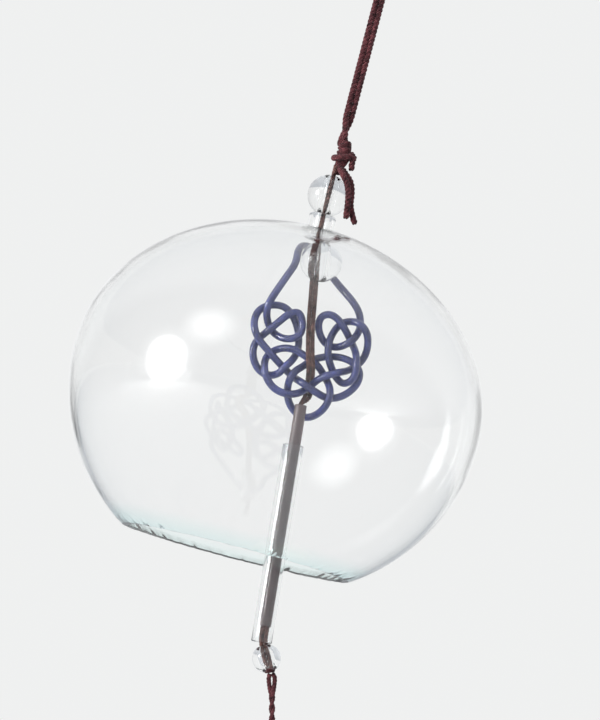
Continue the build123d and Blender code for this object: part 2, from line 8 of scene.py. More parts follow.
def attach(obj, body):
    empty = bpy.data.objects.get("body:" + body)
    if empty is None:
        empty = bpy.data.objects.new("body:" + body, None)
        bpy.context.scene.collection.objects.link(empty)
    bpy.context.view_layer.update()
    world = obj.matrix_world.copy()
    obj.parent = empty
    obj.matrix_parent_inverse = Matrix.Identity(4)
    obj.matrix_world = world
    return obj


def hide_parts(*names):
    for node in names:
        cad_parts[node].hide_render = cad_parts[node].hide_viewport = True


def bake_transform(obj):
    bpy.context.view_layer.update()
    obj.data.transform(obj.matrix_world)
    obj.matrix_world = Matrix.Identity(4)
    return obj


# A small hanging wind bell of blown glass. Metres, in the part's own frame: +Z up the bell's axis, the
# viewer looks along +Y, and the origin is the seat of the hook in the hanging loop.

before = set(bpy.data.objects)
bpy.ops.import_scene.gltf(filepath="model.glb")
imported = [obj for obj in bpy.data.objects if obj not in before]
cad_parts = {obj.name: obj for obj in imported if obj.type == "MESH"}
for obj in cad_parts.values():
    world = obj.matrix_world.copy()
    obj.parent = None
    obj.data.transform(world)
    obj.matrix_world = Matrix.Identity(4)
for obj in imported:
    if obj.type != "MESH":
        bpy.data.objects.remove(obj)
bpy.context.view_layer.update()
mm = 0.001

# How the routes of the cords are read: points of the picture, as in the part's source.
picture_point = 0.1927 * mm
RIM_SEEN_X = 235.0
RIM_SEEN_Y = 553.5
CROWN_SEEN = (318.1, 234.6)
wind_lean = math.radians(14.6)
rim_drop = 121.5 * mm
LEAN_COS = math.cos(wind_lean)
LEAN_SIN = math.sin(wind_lean)

# Camera.
PICTURE_HEIGHT = 720
camera_distance = 0.7
camera_rise = math.radians(6.4)
sensor_size = 24.0
PICTURE_MIDDLE = Vector((2.72, 0, -82.26)) * mm

# Hanging cord and its knot.
hanging_strand = 1.1 * mm
hanging_spacing = 1.06 * mm
hook_space = 3.0 * mm
eye_height = 7.0 * mm
loop_length = 10.6 * mm
knot_above_bead = 2.0 * mm
knot_height = 4.5 * mm
tail_strand = 1.1 * mm
hanging_pitch = 2.6 * mm
tail_pitch = 2.4 * mm
loop_top = 0.55 * mm
loop_parting = 1.4 * mm
crossing_depth = 0.55 * mm
by_crossing_depth = 0.3 * mm

# Heights from the knot's top: in it, over it, at the crossing, over that, and where the strands part.
CORD_RISES = (-0.4 * mm, 0.8 * mm, 2.6 * mm, 4.8 * mm, 7.5 * mm)

# Bell.
bell_radius = 40.0 * mm
mouth_radius = 22.5 * mm
belly_height = 31.8 * mm
crown_rise = 33.0 * mm
wall = 1.2 * mm
crown_wall = 1.3 * mm
lip_radius = 2.7 * mm
lip_rise = 2.95 * mm
lip_round = 0.6 * mm
hole_radius = 1.5 * mm
hole_round = 0.3 * mm
blown_depth = 0.12 * mm
rim_tint_height = 4 * mm
cut_face_height = 0.3 * mm
smooth_angle = math.radians(25)
glass_ior = 1.5

# Beads.
upper_bead_radius = 4.05 * mm
bead_bore = 2.2 * mm
bead_seat_gap = 0.27 * mm
inner_bead_radius = 4.1 * mm
inner_bead_shift = 1.9 * mm
crown_gap = 0.15 * mm
bottom_bead_radius = 2.75 * mm
bottom_bead_bore = 2.1 * mm
bottom_bead_shift = 1.47 * mm

# Inner cord, sleeve and tube.
strand = 0.82 * mm
pair_spacing = 0.86 * mm
strand_pitch = 1.9 * mm
link_strand_share = 0.9
pair_radius = 0.88 * mm
sleeve_above_bead = 3.5 * mm
sleeve_clearance = 0.07 * mm
sleeve_wall = 0.2 * mm
tube_radius = 2.0 * mm
tube_wall = 0.5 * mm
tube_length = 38.5 * mm
tube_below_sleeve_top = 7.75 * mm
tube_shift = 0.2 * mm
tube_above_bead = 0.08 * mm

# Knots and cords under the bottom bead.
stop_knot_width = 2.4 * mm
stop_knot_height = 1.6 * mm
stop_knot_proud = 0.2 * mm
pull_twist_width = 1.25 * mm
pull_twist_length = 8.0 * mm
strip_knot_width = 2.4 * mm
strip_knot_height = 2.0 * mm
loop_drop = 7.5 * mm
loop_depth = 2.4 * mm
hole_play = 0.05 * mm
winding_pitch = 1.6 * mm
twist_pitch = 4.2 * mm
twist_ply_pitch = 1.7 * mm

# Floor.
floor_size = 6
floor_level = -0.27

# The decorative knot's strand, and how thick the plies of a twisted strand are.
knot_strand = 1.46 * mm
ply_shift_share = 0.28
ply_radius_share = 0.3
strand_sides = 8

KNOT_ROUTE = [
    (321, 247, -23.9), (313, 239, -16.1), (302.5, 240, -5.7), (298.3, 249.5, 6.7),
    (296.5, 261, 7.3), (289.5, 271.5, 5.2), (280.5, 284, 5.2), (272.5, 296, 6), (266.8, 307, 6),
    (267, 319, -2.1), (272, 330, -6.7), (281, 337.5, 0), (292, 339.3, 5.7), (301, 334.5, 5.7),
    (303.2, 322, 5.2), (299.5, 311, 5.7), (289, 313, 5.7), (277, 323, 5.7), (268, 330.5, 4.2),
    (259, 337, -6.2), (253.5, 345, -5.2), (252.8, 357, -5.2), (257.5, 368.5, -5.7),
    (267, 375, -5.7), (278, 374.5, 1), (284, 367.8, 6), (292.5, 360, 0.5), (297.5, 351, -6.2),
    (299.5, 338, -5.7), (297.5, 324, -5.7), (292, 311.5, -5.7), (283.5, 303.5, -5.7),
    (270.5, 302.5, -6), (259.5, 307.5, -3.1), (254.2, 318, 1), (254.5, 330, 5.7),
    (259.5, 341, 5.7), (268, 351, 5.7), (277, 360.5, 0), (285, 368.5, -6.7), (293.5, 376.5, -7.3),
    (301, 382.5, 4.2), (308.5, 388, 6.2), (317, 393.5, 3.1), (327, 397.8, -6.2),
    (339, 397.5, -4.2), (350.5, 391.5, -4.7), (358.5, 382, -1.6), (360.5, 371.5, 0),
    (354.5, 362.5, 0), (343.5, 357, -1), (332, 355.3, -5.7), (321, 356.3, -5.7),
    (311, 359.5, -5.2), (303, 366, -2.6), (294.5, 371.5, 6.2), (288.5, 380.5, 4.7),
    (287, 392, -5.7), (289.5, 403, -11.9), (297.5, 413, -15.6), (309, 416.5, -15.6),
    (320.5, 412, -5.2), (328, 403, 4.2), (330.5, 392, 6.2), (328, 381.5, -4.7),
    (323.8, 373.5, -6.7), (318.5, 366, 1), (310.5, 360, 6), (302.5, 354.5, 5.2),
    (294.5, 349.5, 5.7), (284, 347.3, 1.6), (273.5, 349.5, -5.7), (266, 356, -5.7),
    (263.8, 366, 2.6), (265.5, 377, 5.7), (272, 387.5, 5.2), (282, 393.5, 5.7), (293, 394.8, 5.2),
    (302, 391.5, -3.6), (310.5, 385.5, -6.7), (318.5, 379, 1), (327, 375.8, 6.2), (337, 373, 6.7),
    (348, 370, -6.2), (357.5, 364.5, -11.4), (365.5, 355.5, -7.8), (368.8, 344, -2.1),
    (367.5, 331.5, 6.2), (359.5, 322, 6.5), (348.5, 319, -4.2), (339, 323.5, -6.2),
    (332.5, 333, -1), (328.5, 344, 6.2), (327.8, 356, 6.5), (331, 366.5, -1), (336, 376.5, -6.7),
    (342.5, 384, -2.1), (351, 382, 6.2), (355.5, 373.5, 10.9), (356.5, 361, 11.4),
    (355.5, 350, 1.6), (352, 340, -7.8), (346, 329, 1.6), (339, 319, 6.7), (330.5, 313, 5.2),
    (321.5, 315, 2.6), (318.3, 325, 0), (321.5, 337, -3.1), (328.5, 344.5, -6.7), (339, 346.8, -1),
    (350, 342.5, 7.3), (357.5, 334.5, 2.6), (362, 323, -8.3), (360.5, 310, -6.2),
    (354.5, 299, -8.3), (346.5, 288.5, -13), (339, 278.5, -19.2), (332.5, 268.5, -24.4),
    (326.5, 258, -27),
]
INNER_ROUTE = [
    (321.4, 222, 0, 90), (319.8, 234.5, 0, 90), (317.2, 256.4, 0, 45), (314.9, 277.7, 0, 0),
    (313, 300, 5, 0), (311, 321, 11, 0), (309.8, 343, 14, 0), (310, 361, 13.5, 0),
    (310.6, 371, 7.5, 0), (310.2, 379, -8, 0), (309.3, 386.9, -14.5, 0), (308.5, 393.4, -12.7, 0),
]
INNER_END_SEEN = (307.9, 394.9, -11.8)
LINK_ROUTE = [
    (308.3, 393.9, -12.4, 0), (307.5, 396, -11, 0), (305.8, 397.9, -7.8, 30), (304.1, 399.6, -4.4, 60),
    (302.2, 401.2, -1, 90), (301.5, 403.6, 0.4, 90),
]
TAIL_LONG_ROUTE = [
    (6.5, 3.9, 1.5), (9.6, 9.7, 6.7), (14.9, 18.9, 12), (15.3, 31.8, 12.5), (13, 44.7, 11.4),
    (18.3, 61.1, 11.4),
]
TAIL_SHORT_ROUTE = [
    (3.5, 3.3, 7), (5.7, 10.1, 13.5), (10.6, 21, 19.7), (12, 36.3, 18.7), (8.8, 56.4, 17.6),
]
SLEEVE_TOP_SEEN = (301, 405, 1.5)
SLEEVE_FOOT_SEEN = (265, 625, 1.5)
BEAD_ENTRY_SEEN = (263.1, 641.6, 1.5)
BEAD_EXIT_SEEN = (271.1, 670.1, 1.5)
PULL_LEFT_ROUTE = [(-2.2, 3.5, -0.4), (-1.7, 9.9, -1.2), (-0.3, 18.9, -2.7)]
PULL_RIGHT_ROUTE = [(4.2, 2.5, 0.4), (3.8, 9.9, 1.2), (2.4, 18.9, 2.9)]
TWIST_TOP_STEP = (1.2, 21.2)

# The wraps of the knot above the beads, in steps from the middle of its foot.
WRAP_ROUTE = [
    (12.6, -23.5, 2), (7.5, -20.5, 5.4), (3.6, -18.6, 0), (8.2, -17.4, -5), (13.6, -16.8, 0),
    (9.5, -14.6, 5.8), (2.6, -13.6, 1), (5.5, -12.8, -5.4), (14.8, -12.5, -3), (17, -9.6, 3),
    (11.5, -7.2, 8), (3.5, -6.9, 8.4), (-2.4, -7.2, 3.4), (-1.6, -9, -4), (5.2, -9.8, -8.4),
    (14.4, -10, -7), (18.4, -8.6, 0), (16.5, -4.6, 5), (15.2, 1.5, 3.5), (15.4, 5.5, 2.5),
]


def seen(x, y, near=0.0):
    """A point of the picture as a point of the bell; near is its distance towards the viewer."""
    right = (x - RIM_SEEN_X) * picture_point
    down = (y - RIM_SEEN_Y) * picture_point
    return Vector((
        right * LEAN_COS + down * LEAN_SIN,
        -near * picture_point,
        right * LEAN_SIN - down * LEAN_COS - rim_drop,
    ))


def seen_step(x, y, near=0.0):
    """A step in the picture, with its step towards the viewer, as a step of the bell."""
    return seen(RIM_SEEN_X + x, RIM_SEEN_Y + y, near) - seen(RIM_SEEN_X, RIM_SEEN_Y)


# Levels and places that several pieces share.
belly_level = belly_height - rim_drop
lip_level = belly_level + crown_rise + lip_rise
inside_radius = bell_radius - wall
inside_rise = crown_rise - crown_wall
bead_seat_radius = hole_radius + hole_round
upper_bead_level = lip_level + bead_seat_gap + math.sqrt(upper_bead_radius**2 - bead_seat_radius**2)
knot_foot = Vector((0, 0, upper_bead_level + upper_bead_radius + knot_above_bead))
knot_top = knot_foot + Vector((0, 0, knot_height))
crown_lift = Vector((0, 0, belly_level + inside_rise - seen(*CROWN_SEEN).z))
crown_over_bead = belly_level + inside_rise * math.sqrt(1 - (inner_bead_shift / inside_radius) ** 2)
inner_bead_centre = Vector((inner_bead_shift, 0, crown_over_bead - crown_gap - inner_bead_radius))
toward_viewer = Vector((0, -1, 0))
half_pair = pair_spacing / 2


def hung(x, y, near=0.0):
    """The same for a piece that hangs under the crown: it keeps its distance from the crown."""
    return seen(x, y, near) + crown_lift


sleeve_top = hung(*SLEEVE_TOP_SEEN)
sleeve_down = (hung(*SLEEVE_FOOT_SEEN) - sleeve_top).normalized()
sleeve_side = Vector((sleeve_down.z, 0, -sleeve_down.x))
tube_top = sleeve_top + sleeve_down * tube_below_sleeve_top + sleeve_side * tube_shift
tube_foot = tube_top + sleeve_down * tube_length
bottom_bead_centre = (
    tube_foot + sleeve_down * (bottom_bead_radius + tube_above_bead) - sleeve_side * bottom_bead_shift
)
bead_down = (seen(*BEAD_EXIT_SEEN) - seen(*BEAD_ENTRY_SEEN)).normalized()
bead_mouth = bottom_bead_centre - bead_down * bottom_bead_radius
sleeve_length = (bead_mouth - sleeve_top).dot(sleeve_down) - sleeve_above_bead
sleeve_bore_radius = pair_radius + sleeve_clearance
stop_knot_foot = bottom_bead_centre + bead_down * (bottom_bead_radius + stop_knot_proud)
stop_knot_top = stop_knot_foot - bead_down * stop_knot_height
pull_down = Vector((LEAN_SIN, 0, -LEAN_COS))
twist_top = stop_knot_foot + seen_step(*TWIST_TOP_STEP)
twist_foot = twist_top + pull_down * pull_twist_length
strip_knot_foot = twist_foot + pull_down * (hole_play + strip_knot_height)


def make_camera():
    """The camera at the photograph's place, tipped so that the bell leans with the wind."""
    data = bpy.data.cameras.new("camera")
    camera = bpy.data.objects.new("camera", data)
    bpy.context.collection.objects.link(camera)
    data.sensor_width = sensor_size
    data.lens = sensor_size * camera_distance / (PICTURE_HEIGHT * picture_point)
    forward = Vector((0, math.cos(camera_rise), math.sin(camera_rise)))
    level_right = Vector((1, 0, 0))
    level_up = level_right.cross(forward)
    right = level_right * LEAN_COS + level_up * LEAN_SIN
    up = level_up * LEAN_COS - level_right * LEAN_SIN
    turn = Matrix((right, up, -forward)).transposed()
    camera.matrix_world = Matrix.Translation(PICTURE_MIDDLE - forward * camera_distance) @ turn.to_4x4()
    bpy.context.scene.camera = camera
    return right, up, -forward


def around(across, third, angle):
    """The direction at an angle round an axis, from two directions across it."""
    return across * math.cos(angle) + third * math.sin(angle)


def pair_strand(middle, turns, side):
    """One strand of a doubled cord: side is +1 or -1."""
    points = []
    for index, turn in enumerate(turns):
        before = middle[max(index - 1, 0)]
        after = middle[min(index + 1, len(middle) - 1)]
        along = (after - before).normalized()
        sideways = Vector((along.z, 0, -along.x)).normalized()
        frontward = sideways.cross(along)
        offset = around(sideways, frontward, math.radians(turn))
        points.append(middle[index] + offset * (side * half_pair))
    return points


def spline_line(points, step):
    """Places a step apart along the smooth spline whose control points are the route's points."""
    data = bpy.data.curves.new("route", "CURVE")
    data.dimensions = "3D"
    spline = data.splines.new("NURBS")
    spline.points.add(len(points) - 1)
    for control, place in zip(spline.points, points):
        control.co = (*place, 1)
    spline.order_u = 3
    spline.use_endpoint_u = True
    spline.resolution_u = 12
    curve = bpy.data.objects.new("route", data)
    bpy.context.collection.objects.link(curve)
    bpy.context.view_layer.update()
    mesh = bpy.data.meshes.new_from_object(curve)
    places = [vertex.co.copy() for vertex in mesh.vertices]
    bpy.data.meshes.remove(mesh)
    bpy.data.objects.remove(curve)
    bpy.data.curves.remove(data)
    return even_places(places, step)


def even_places(places, step):
    """Places a step apart along a line."""
    walked = [0.0]
    for one, other in zip(places, places[1:]):
        walked.append(walked[-1] + (other - one).length)
    count = max(2, round(walked[-1] / step))
    spaced = []
    at = 0
    for number in range(count + 1):
        goal = walked[-1] * number / count
        while at < len(walked) - 2 and walked[at + 1] < goal:
            at += 1
        run = walked[at + 1] - walked[at]
        share = (goal - walked[at]) / run if run > 0 else 0
        spaced.append(places[at].lerp(places[at + 1], share))
    return spaced


def carried_frames(places):
    """At each place of a line: the direction along it and two directions across, carried without twist."""
    frames = []
    across = None
    for index in range(len(places)):
        before = places[max(index - 1, 0)]
        after = places[min(index + 1, len(places) - 1)]
        along = (after - before).normalized()
        if across is None:
            across = along.orthogonal().normalized()
        across = (across - along * across.dot(along)).normalized()
        frames.append((along, across, along.cross(across)))
    return frames


def tube_mesh(name, lines, radii, sides):
    """One piece of closed tubes: lines of places, and the radius at each place of each line."""
    mesh = bpy.data.meshes.new(name)
    work = bmesh.new()
    uv = work.loops.layers.uv.new("along")
    for line, radius in zip(lines, radii):
        rings = []
        walked = [0.0]
        for one, other in zip(line, line[1:]):
            walked.append(walked[-1] + (other - one).length)
        for place, (along, across, third), size in zip(line, carried_frames(line), radius):
            ring = []
            for side in range(sides):
                angle = 2 * math.pi * side / sides
                ring.append(work.verts.new(place + around(across, third, angle) * size))
            rings.append(ring)
        for index in range(len(rings) - 1):
            for side in range(sides):
                after = (side + 1) % sides
                face = work.faces.new((
                    rings[index][side], rings[index][after], rings[index + 1][after], rings[index + 1][side],
                ))
                face.smooth = True
                corners = ((index, side), (index, side + 1), (index + 1, side + 1), (index + 1, side))
                for loop, (ring_at, turn_at) in zip(face.loops, corners):
                    loop[uv].uv = (walked[ring_at] / mm, turn_at / sides)
        work.faces.new(reversed(rings[0])).smooth = True
        work.faces.new(rings[-1]).smooth = True
    work.to_mesh(mesh)
    work.free()
    piece = bpy.data.objects.new(name, mesh)
    bpy.context.collection.objects.link(piece)
    return piece


def plies_of(places, width, pitch, plies):
    """The lines of the plies that are twisted round each other along a line."""
    frames = carried_frames(places)
    lines = []
    for ply in range(plies):
        line = []
        walked = 0.0
        for index, (place, (along, across, third)) in enumerate(zip(places, frames)):
            if index:
                walked += (place - places[index - 1]).length
            angle = 2 * math.pi * (ply / plies + walked / pitch)
            line.append(place + around(across, third, angle) * (width * ply_shift_share))
        lines.append(line)
    return lines


def rounded_ends(count, radius, start_full, end_full):
    """The radius at each place of a ply, drawn in at an end that is cut."""
    radii = [radius] * count
    for step, share in enumerate((0.45, 0.8, 0.95)):
        if not start_full:
            radii[step] = radius * share
        if not end_full:
            radii[-1 - step] = radius * share
    return radii


def twisted_strand(name, points, width, pitch, material, step=0.2 * mm, cut_end=False):
    """A strand of three twisted plies along a route. Gives the piece and the line that it follows."""
    places = spline_line(points, step)
    lines = plies_of(places, width, pitch, 3)
    radii = [rounded_ends(len(places), width * ply_radius_share, True, not cut_end)] * 3
    piece = tube_mesh(name, lines, radii, strand_sides)
    piece.data.materials.append(material)
    return piece, places


def coil_points(top, down, radii, rise, turns):
    """Control points of a strand that winds round an axis, its radius following the list from top to foot."""
    across = toward_viewer - down * toward_viewer.dot(down)
    across.normalize()
    third = down.cross(across)
    count = 8 * turns
    points = []
    for number in range(count + 1):
        share = number / count
        at = share * (len(radii) - 1)
        low = min(int(at), len(radii) - 2)
        radius = radii[low] + (radii[low + 1] - radii[low]) * (at - low)
        angle = 2 * math.pi * number / 8
        points.append(top + down * (rise * share) + around(across, third, angle) * radius)
    return points


def wound_knot(name, top, down, width, height, strand_width, body, node):
    """A small tight knot: a strand wound round the cord, over a core that fills it."""
    reach = (width - strand_width) / 2
    rise = height - strand_width
    start = top + down * (strand_width / 2)
    points = coil_points(start, down, [reach * 0.7, reach, reach, reach * 0.7], rise, 3)
    winding = spline_line(points, 0.15 * mm)
    core = [top + down * (height * share) for share in (0.06, 0.14, 0.3, 0.5, 0.7, 0.86, 0.94)]
    core_radii = [reach * share for share in (0.5, 0.85, 1.0, 1.05, 1.0, 0.85, 0.5)]
    lines = plies_of(winding, strand_width, winding_pitch, 3) + [core]
    ply_radii = rounded_ends(len(winding), strand_width * ply_radius_share, False, False)
    piece = tube_mesh(name, lines, [ply_radii] * 3 + [core_radii], strand_sides)
    piece.data.materials.append(maroon)
    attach(piece, body)
    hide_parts(node)


def new_material(name, colour, roughness):
    """A material, its node tree and its Principled shader."""
    material = bpy.data.materials.new(name)
    material.use_nodes = True
    tree = material.node_tree
    shader = tree.nodes["Principled BSDF"]
    shader.inputs["Base Color"].default_value = (*colour, 1)
    shader.inputs["Roughness"].default_value = roughness
    return material, tree, shader


def colour_mix(tree, dark, light):
    """A Mix node between two colours."""
    shade = tree.nodes.new("ShaderNodeMix")
    shade.data_type = "RGBA"
    shade.inputs["A"].default_value = (*dark, 1)
    shade.inputs["B"].default_value = (*light, 1)
    return shade


def bump_into(tree, shader, height, strength, distance):
    """Raise the surface by a height socket."""
    bump = tree.nodes.new("ShaderNodeBump")
    bump.inputs["Strength"].default_value = strength
    bump.inputs["Distance"].default_value = distance
    tree.links.new(height, bump.inputs["Height"])
    tree.links.new(bump.outputs["Normal"], shader.inputs["Normal"])


def make_fibre_group():
    """Strand fibres: lines along the piece's own UV map, and dye that took unevenly."""
    group = bpy.data.node_groups.new("strand fibres", "ShaderNodeTree")
    for word, kind in (("Along", "Float"), ("Across", "Float"), ("Dye scale", "Float")):
        group.interface.new_socket(name=word, in_out="INPUT", socket_type="NodeSocket" + kind)
    group.interface.new_socket(name="Shade", in_out="OUTPUT", socket_type="NodeSocketFloat")
    group.interface.new_socket(name="Height", in_out="OUTPUT", socket_type="NodeSocketFloat")
    nodes = group.nodes
    links = group.links
    entry = nodes.new("NodeGroupInput")
    leave = nodes.new("NodeGroupOutput")
    uv = nodes.new("ShaderNodeUVMap")
    uv.uv_map = "along"
    scale = nodes.new("ShaderNodeCombineXYZ")
    mapping = nodes.new("ShaderNodeMapping")
    fibres = nodes.new("ShaderNodeTexNoise")
    fibres.inputs["Scale"].default_value = 1.0
    fibres.inputs["Detail"].default_value = 3.0
    place = nodes.new("ShaderNodeTexCoord")
    dye = nodes.new("ShaderNodeTexNoise")
    dye.inputs["Detail"].default_value = 2.0
    both = nodes.new("ShaderNodeMath")
    both.operation = "ADD"
    spread = nodes.new("ShaderNodeMapRange")
    spread.inputs["From Min"].default_value = 0.75
    spread.inputs["From Max"].default_value = 1.25
    links.new(entry.outputs["Along"], scale.inputs["X"])
    links.new(entry.outputs["Across"], scale.inputs["Y"])
    links.new(uv.outputs["UV"], mapping.inputs["Vector"])
    links.new(scale.outputs["Vector"], mapping.inputs["Scale"])
    links.new(mapping.outputs["Vector"], fibres.inputs["Vector"])
    links.new(place.outputs["Object"], dye.inputs["Vector"])
    links.new(entry.outputs["Dye scale"], dye.inputs["Scale"])
    links.new(fibres.outputs["Fac"], both.inputs[0])
    links.new(dye.outputs["Fac"], both.inputs[1])
    links.new(both.outputs[0], spread.inputs["Value"])
    links.new(spread.outputs["Result"], leave.inputs["Shade"])
    links.new(fibres.outputs["Fac"], leave.inputs["Height"])
    return group


fibre_group = make_fibre_group()


def fibre_material(name, dark, light, roughness, along, across, dye_scale, strength, depth):
    """A material whose colour runs between two shades along the fibres of a strand."""
    material, tree, shader = new_material(name, dark, roughness)
    fibres = tree.nodes.new("ShaderNodeGroup")
    fibres.node_tree = fibre_group
    fibres.inputs["Along"].default_value = along
    fibres.inputs["Across"].default_value = across
    fibres.inputs["Dye scale"].default_value = dye_scale
    shade = colour_mix(tree, dark, light)
    tree.links.new(fibres.outputs["Shade"], shade.inputs["Factor"])
    tree.links.new(shade.outputs["Result"], shader.inputs["Base Color"])
    bump_into(tree, shader, fibres.outputs["Height"], strength, depth)
    return material, shader


def make_cord_material(name, dark, light):
    """Twisted cord: matt, with a little sheen."""
    material, shader = fibre_material(
        name, dark, light, roughness=0.8, along=1.6, across=9.0, dye_scale=900.0, strength=0.5, depth=0.06 * mm
    )
    shader.inputs["Sheen Weight"].default_value = 0.12
    shader.inputs["Sheen Roughness"].default_value = 0.5
    shader.inputs["Specular IOR Level"].default_value = 0.25
    return material


def make_blue_material():
    """The decorative knot's strand: smooth, glossy and slate blue, with fine lengthwise lines."""
    material, shader = fibre_material(
        "slate blue strand", (0.018, 0.026, 0.13), (0.06, 0.078, 0.3), roughness=0.4, along=0.1, across=12.0,
        dye_scale=350.0, strength=0.25, depth=0.03 * mm
    )
    shader.inputs["Specular IOR Level"].default_value = 0.25
    shader.inputs["Coat Weight"].default_value = 1.0
    shader.inputs["Coat Roughness"].default_value = 0.1
    return material


def glass_tint_and_painted_edge_shade(tree, clear, edge, steepness):
    """Glass keeps its tint where it is seen square on and turns to the edge colour where it is seen on edge:
    painted edge shade that stands in for the darker surroundings refracted and mirrored there.
    """
    facing = tree.nodes.new("ShaderNodeLayerWeight")
    facing.inputs["Blend"].default_value = 0.5
    steep = tree.nodes.new("ShaderNodeMath")
    steep.operation = "POWER"
    steep.inputs[1].default_value = steepness
    # the edge colour is painted edge shade, blended in by the Layer Weight facing ratio
    shade = colour_mix(tree, clear, edge)
    tree.links.new(facing.outputs["Facing"], steep.inputs[0])
    tree.links.new(steep.outputs[0], shade.inputs["Factor"])
    return shade


def let_light_through(shader):
    """Make a material as clear as glass."""
    shader.inputs["Transmission Weight"].default_value = 1.0
    shader.inputs["IOR"].default_value = glass_ior


def make_glass_material(name, clear, edge, steepness, wave_scale, wave_height):
    """Clear glass with slow waves from the hot shaping, and painted edge shade where it is seen on edge."""
    material, tree, shader = new_material(name, clear, 0.0)
    let_light_through(shader)
    # painted edge shade: the base colour turns to the edge colour where the glass is seen on edge
    shade = glass_tint_and_painted_edge_shade(tree, clear, edge, steepness)
    tree.links.new(shade.outputs["Result"], shader.inputs["Base Color"])
    place = tree.nodes.new("ShaderNodeTexCoord")
    wave = tree.nodes.new("ShaderNodeTexNoise")
    wave.inputs["Scale"].default_value = wave_scale
    wave.inputs["Detail"].default_value = 1.0
    tree.links.new(place.outputs["Object"], wave.inputs["Vector"])
    bump_into(tree, shader, wave.outputs["Fac"], 1.0, wave_height)
    return material


def make_bell_material():
    """The bell's glass: clear, with an aqua tint that gathers towards the cut rim, and painted edge shade where
    it is seen on edge.
    """
    material, tree, shader = new_material("bell glass", (1, 1, 1), 0.0)
    let_light_through(shader)
    place = tree.nodes.new("ShaderNodeTexCoord")
    height = tree.nodes.new("ShaderNodeSeparateXYZ")
    near_rim = tree.nodes.new("ShaderNodeMapRange")
    near_rim.interpolation_type = "SMOOTHSTEP"
    near_rim.inputs["From Min"].default_value = -rim_drop + rim_tint_height
    near_rim.inputs["From Max"].default_value = -rim_drop
    # painted edge shade: the clear glass turns a little grey where it is seen on edge
    clear = glass_tint_and_painted_edge_shade(tree, (1.0, 1.0, 1.0), (0.96, 0.99, 0.995), 4.0)
    # near the rim: the glass's own aqua, and on edge a deeper aqua that is partly its own tint and partly painted
    # edge shade
    rim = glass_tint_and_painted_edge_shade(tree, (0.89, 0.975, 0.97), (0.5, 0.87, 0.86), 2.5)
    both = colour_mix(tree, (1, 1, 1), (1, 1, 1))
    wave = tree.nodes.new("ShaderNodeTexNoise")
    wave.inputs["Scale"].default_value = 70.0
    wave.inputs["Detail"].default_value = 1.0
    tree.links.new(place.outputs["Object"], height.inputs[0])
    tree.links.new(height.outputs["Z"], near_rim.inputs["Value"])
    tree.links.new(near_rim.outputs["Result"], both.inputs["Factor"])
    tree.links.new(clear.outputs["Result"], both.inputs["A"])
    tree.links.new(rim.outputs["Result"], both.inputs["B"])
    tree.links.new(both.outputs["Result"], shader.inputs["Base Color"])
    tree.links.new(place.outputs["Object"], wave.inputs["Vector"])
    bump_into(tree, shader, wave.outputs["Fac"], 1.0, 0.08 * mm)
    return material


def make_cut_edge_material():
    """The rim's cut face: rough, crushed glass with a strong aqua tint."""
    material, tree, shader = new_material("cut edge", (0.5, 0.85, 0.84), 0.25)
    let_light_through(shader)
    place = tree.nodes.new("ShaderNodeTexCoord")
    chips = tree.nodes.new("ShaderNodeTexVoronoi")
    chips.inputs["Scale"].default_value = 1400.0
    shade = colour_mix(tree, (0.72, 0.93, 0.92), (0.97, 1.0, 1.0))
    tree.links.new(place.outputs["Object"], chips.inputs["Vector"])
    tree.links.new(chips.outputs["Distance"], shade.inputs["Factor"])
    tree.links.new(shade.outputs["Result"], shader.inputs["Base Color"])
    bump_into(tree, shader, chips.outputs["Distance"], 0.8, 0.15 * mm)
    return material


def make_paper_material():
    """Handmade paper: pale and matt, with long fibres in it."""
    material, tree, shader = new_material("strip paper", (0.8, 0.77, 0.68), 0.85)
    place = tree.nodes.new("ShaderNodeTexCoord")
    mapping = tree.nodes.new("ShaderNodeMapping")
    mapping.inputs["Rotation"].default_value = (0, 0.6, 0)
    mapping.inputs["Scale"].default_value = (1, 1, 0.12)
    fibres = tree.nodes.new("ShaderNodeTexNoise")
    fibres.inputs["Scale"].default_value = 2200.0
    fibres.inputs["Detail"].default_value = 5.0
    cloud = tree.nodes.new("ShaderNodeTexNoise")
    cloud.inputs["Scale"].default_value = 350.0
    both = tree.nodes.new("ShaderNodeMath")
    both.operation = "MULTIPLY"
    spread = tree.nodes.new("ShaderNodeMapRange")
    spread.inputs["From Min"].default_value = 0.15
    spread.inputs["From Max"].default_value = 0.35
    shade = colour_mix(tree, (0.8, 0.77, 0.69), (0.88, 0.87, 0.82))
    tree.links.new(place.outputs["Object"], mapping.inputs["Vector"])
    tree.links.new(mapping.outputs["Vector"], fibres.inputs["Vector"])
    tree.links.new(place.outputs["Object"], cloud.inputs["Vector"])
    tree.links.new(fibres.outputs["Fac"], both.inputs[0])
    tree.links.new(cloud.outputs["Fac"], both.inputs[1])
    tree.links.new(both.outputs[0], spread.inputs["Value"])
    tree.links.new(spread.outputs["Result"], shade.inputs["Factor"])
    tree.links.new(shade.outputs["Result"], shader.inputs["Base Color"])
    bump_into(tree, shader, fibres.outputs["Fac"], 0.4, 0.04 * mm)
    return material


maroon = make_cord_material("maroon cord", (0.02, 0.004, 0.006), (0.16, 0.042, 0.048))
brown = make_cord_material("brown cord", (0.03, 0.012, 0.011), (0.22, 0.11, 0.095))
slate_blue = make_blue_material()
bell_glass = make_bell_material()
cut_edge = make_cut_edge_material()
